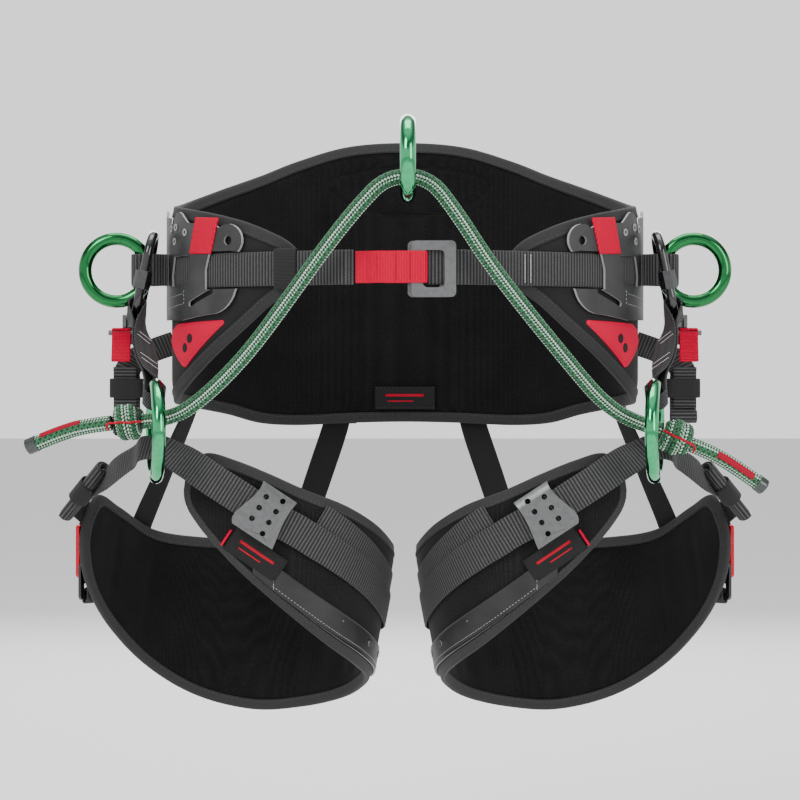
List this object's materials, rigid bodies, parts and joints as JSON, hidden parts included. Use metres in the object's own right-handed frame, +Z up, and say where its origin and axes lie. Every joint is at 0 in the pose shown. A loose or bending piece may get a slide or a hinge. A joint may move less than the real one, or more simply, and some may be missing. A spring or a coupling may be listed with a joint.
{
  "type": "tree climbing saddle",
  "caption": "Padded climbing saddle: back belt, leg loops, waist buckle, side rings and a rope bridge with a sliding ring between two bridge rings.",
  "frame": {"origin": "middle of the waist opening, level with the waist strap: the axis of the wearer's waist", "axes": "+X to the viewer's right when the buckle faces the viewer, +Y towards the back pad, +Z up"},
  "size_m": [0.6305, 0.3456, 0.5179],
  "materials": {
    "lining_mesh": "black mesh lining over foam, bound with dark grey tape",
    "shell_fabric": "matt coated fabric",
    "stiffener_sheet": "plain plastic sheet",
    "laminate": "smooth laminate with pale cut edges",
    "label": "woven label with plain pale bars",
    "red_fabric": "crimson woven fabric",
    "webbing": "ribbed black and grey webbing",
    "elastic": "flat elastic",
    "grey_metal": "grey anodised",
    "black_metal": "gloss black coated steel",
    "dark_green_metal": "dark green anodised, polished",
    "mint_green_metal": "light green anodised, polished",
    "rope": "braided green, white and black cover",
    "leg_plate_grey": "brushed aluminium",
    "rivet_metal": "dark rivets",
    "red_metal": "red anodised"
  },
  "bodies": {
    "belt": {"back_pad": "lining_mesh", "belt_shell": "shell_fabric", "back_stiffener": "stiffener_sheet", "belt_label": "label", "side_plate_l": "laminate", "side_plate_r": "laminate", "plate_patches": "red_fabric", "loop_tabs": "red_fabric", "plate_eyelets": "black_metal", "waist_strap_l": "webbing", "waist_strap_r": "webbing", "buckle_rear_frame": "grey_metal", "ring_sling_l": "webbing", "ring_sling_r": "webbing", "screw_link_l": "black_metal", "screw_link_r": "black_metal", "side_strap_l": "webbing", "side_strap_r": "webbing", "hip_buckle_l": "black_metal", "hip_buckle_r": "black_metal", "hip_tail_l": "webbing", "hip_tail_r": "webbing", "rear_straps_l": "elastic", "rear_straps_r": "elastic"},
    "waist_frame": {"buckle_front_frame": "grey_metal", "adjust_web": "red_fabric"},
    "keeper": {"waist_keeper": "elastic"},
    "bridge": {"bridge_rope": "rope", "rope_knot_l": "rope", "rope_knot_r": "rope", "rope_tail_l": "rope", "rope_tail_r": "rope"},
    "slide_ring": {"slide_ring": "mint_green_metal"},
    "side_ring_l": {"side_ring_l": "dark_green_metal"},
    "link_nut_l": {"link_nut_l": "black_metal"},
    "bridge_ring_l": {"bridge_ring_l": "mint_green_metal"},
    "leg_l": {"leg_pad_l": "lining_mesh", "leg_strap_l": "webbing", "leg_plate_l": "leg_plate_grey", "leg_rivets_l": "rivet_metal", "leg_strip_l": "laminate", "leg_tail_l": "webbing", "leg_frame_l": "black_metal"},
    "leg_hook_l": {"leg_hook_l": "red_metal"},
    "hip_tab_l": {"hip_tab_l": "red_fabric"},
    "hip_keeper_l": {"hip_keeper_l": "elastic"},
    "side_ring_r": {"side_ring_r": "dark_green_metal"},
    "link_nut_r": {"link_nut_r": "black_metal"},
    "bridge_ring_r": {"bridge_ring_r": "mint_green_metal"},
    "leg_r": {"leg_pad_r": "lining_mesh", "leg_strap_r": "webbing", "leg_plate_r": "leg_plate_grey", "leg_rivets_r": "rivet_metal", "leg_strip_r": "laminate", "leg_tail_r": "webbing", "leg_frame_r": "black_metal"},
    "leg_hook_r": {"leg_hook_r": "red_metal"},
    "hip_tab_r": {"hip_tab_r": "red_fabric"},
    "hip_keeper_r": {"hip_keeper_r": "elastic"}
  },
  "joints": [
    {"name": "waist_frame_tilt", "type": "hinge", "parent": "belt", "child": "waist_frame", "pos_m": [-0.041, -0.1486, 0], "axis": [0, 0, -1], "range_deg": [0, 30]},
    {"name": "keeper_slide", "type": "slide", "parent": "belt", "child": "keeper", "axis": [0.8954, -0.4453, 0], "range_m": [0, 0.026]},
    {"name": "bridge_swing", "type": "hinge", "parent": "belt", "child": "bridge", "pos_m": [0, -0.11, -0.137], "axis": [1, 0, 0], "range_deg": [0, 75]},
    {"name": "slide_ring_travel", "type": "hinge", "parent": "bridge", "child": "slide_ring", "pos_m": [0.002, -0.1735, 0.037], "axis": [0, 1, 0], "range_deg": [-20, 20]},
    {"name": "side_ring_swing_l", "type": "hinge", "parent": "belt", "child": "side_ring_l", "pos_m": [-0.2238, -0.03, 0], "axis": [0, 0, 1], "range_deg": [-20, 12]},
    {"name": "link_nut_turn_l", "type": "hinge", "parent": "belt", "child": "link_nut_l", "pos_m": [-0.22683, -0.049, -0.00741], "axis": [0.2079, 0, 0.9781], "continuous": true},
    {"name": "bridge_ring_turn_l", "type": "hinge", "parent": "belt", "child": "bridge_ring_l", "pos_m": [-0.21, -0.11, -0.137], "axis": [0.9877, 0.1564, 0], "continuous": true},
    {"name": "leg_swing_l", "type": "hinge", "parent": "belt", "child": "leg_l", "pos_m": [-0.21, -0.11, -0.137], "axis": [-1, 0, 0], "range_deg": [-8, 15], "deforming": ["rear_straps_l"]},
    {"name": "leg_hook_release_l", "type": "hinge", "parent": "leg_l", "child": "leg_hook_l", "pos_m": [-0.2806, 0.034, -0.269], "axis": [-0.5822, -0.8131, 0], "range_deg": [0, 30]},
    {"name": "hip_tab_pull_l", "type": "hinge", "parent": "belt", "child": "hip_tab_l", "pos_m": [-0.25, 0.01, -0.0515], "axis": [-1, 0, 0], "range_deg": [0, 35]},
    {"name": "hip_keeper_slide_l", "type": "slide", "parent": "belt", "child": "hip_keeper_l", "axis": [0, 0, -1], "range_m": [0, 0.006]},
    {"name": "side_ring_swing_r", "type": "hinge", "parent": "belt", "child": "side_ring_r", "pos_m": [0.2238, -0.03, 0], "axis": [0, 0, -1], "range_deg": [-20, 12]},
    {"name": "link_nut_turn_r", "type": "hinge", "parent": "belt", "child": "link_nut_r", "pos_m": [0.22683, -0.049, -0.00741], "axis": [-0.2079, 0, 0.9781], "continuous": true},
    {"name": "bridge_ring_turn_r", "type": "hinge", "parent": "belt", "child": "bridge_ring_r", "pos_m": [0.21, -0.11, -0.137], "axis": [0.9877, -0.1564, 0], "continuous": true},
    {"name": "leg_swing_r", "type": "hinge", "parent": "belt", "child": "leg_r", "pos_m": [0.21, -0.11, -0.137], "axis": [-1, 0, 0], "range_deg": [-8, 15], "deforming": ["rear_straps_r"]},
    {"name": "leg_hook_release_r", "type": "hinge", "parent": "leg_r", "child": "leg_hook_r", "pos_m": [0.2806, 0.034, -0.269], "axis": [-0.5822, 0.8131, 0], "range_deg": [0, 30]},
    {"name": "hip_tab_pull_r", "type": "hinge", "parent": "belt", "child": "hip_tab_r", "pos_m": [0.25, 0.01, -0.0515], "axis": [-1, 0, 0], "range_deg": [0, 35]},
    {"name": "hip_keeper_slide_r", "type": "slide", "parent": "belt", "child": "hip_keeper_r", "axis": [0, 0, -1], "range_m": [0, 0.006]}
  ]
}
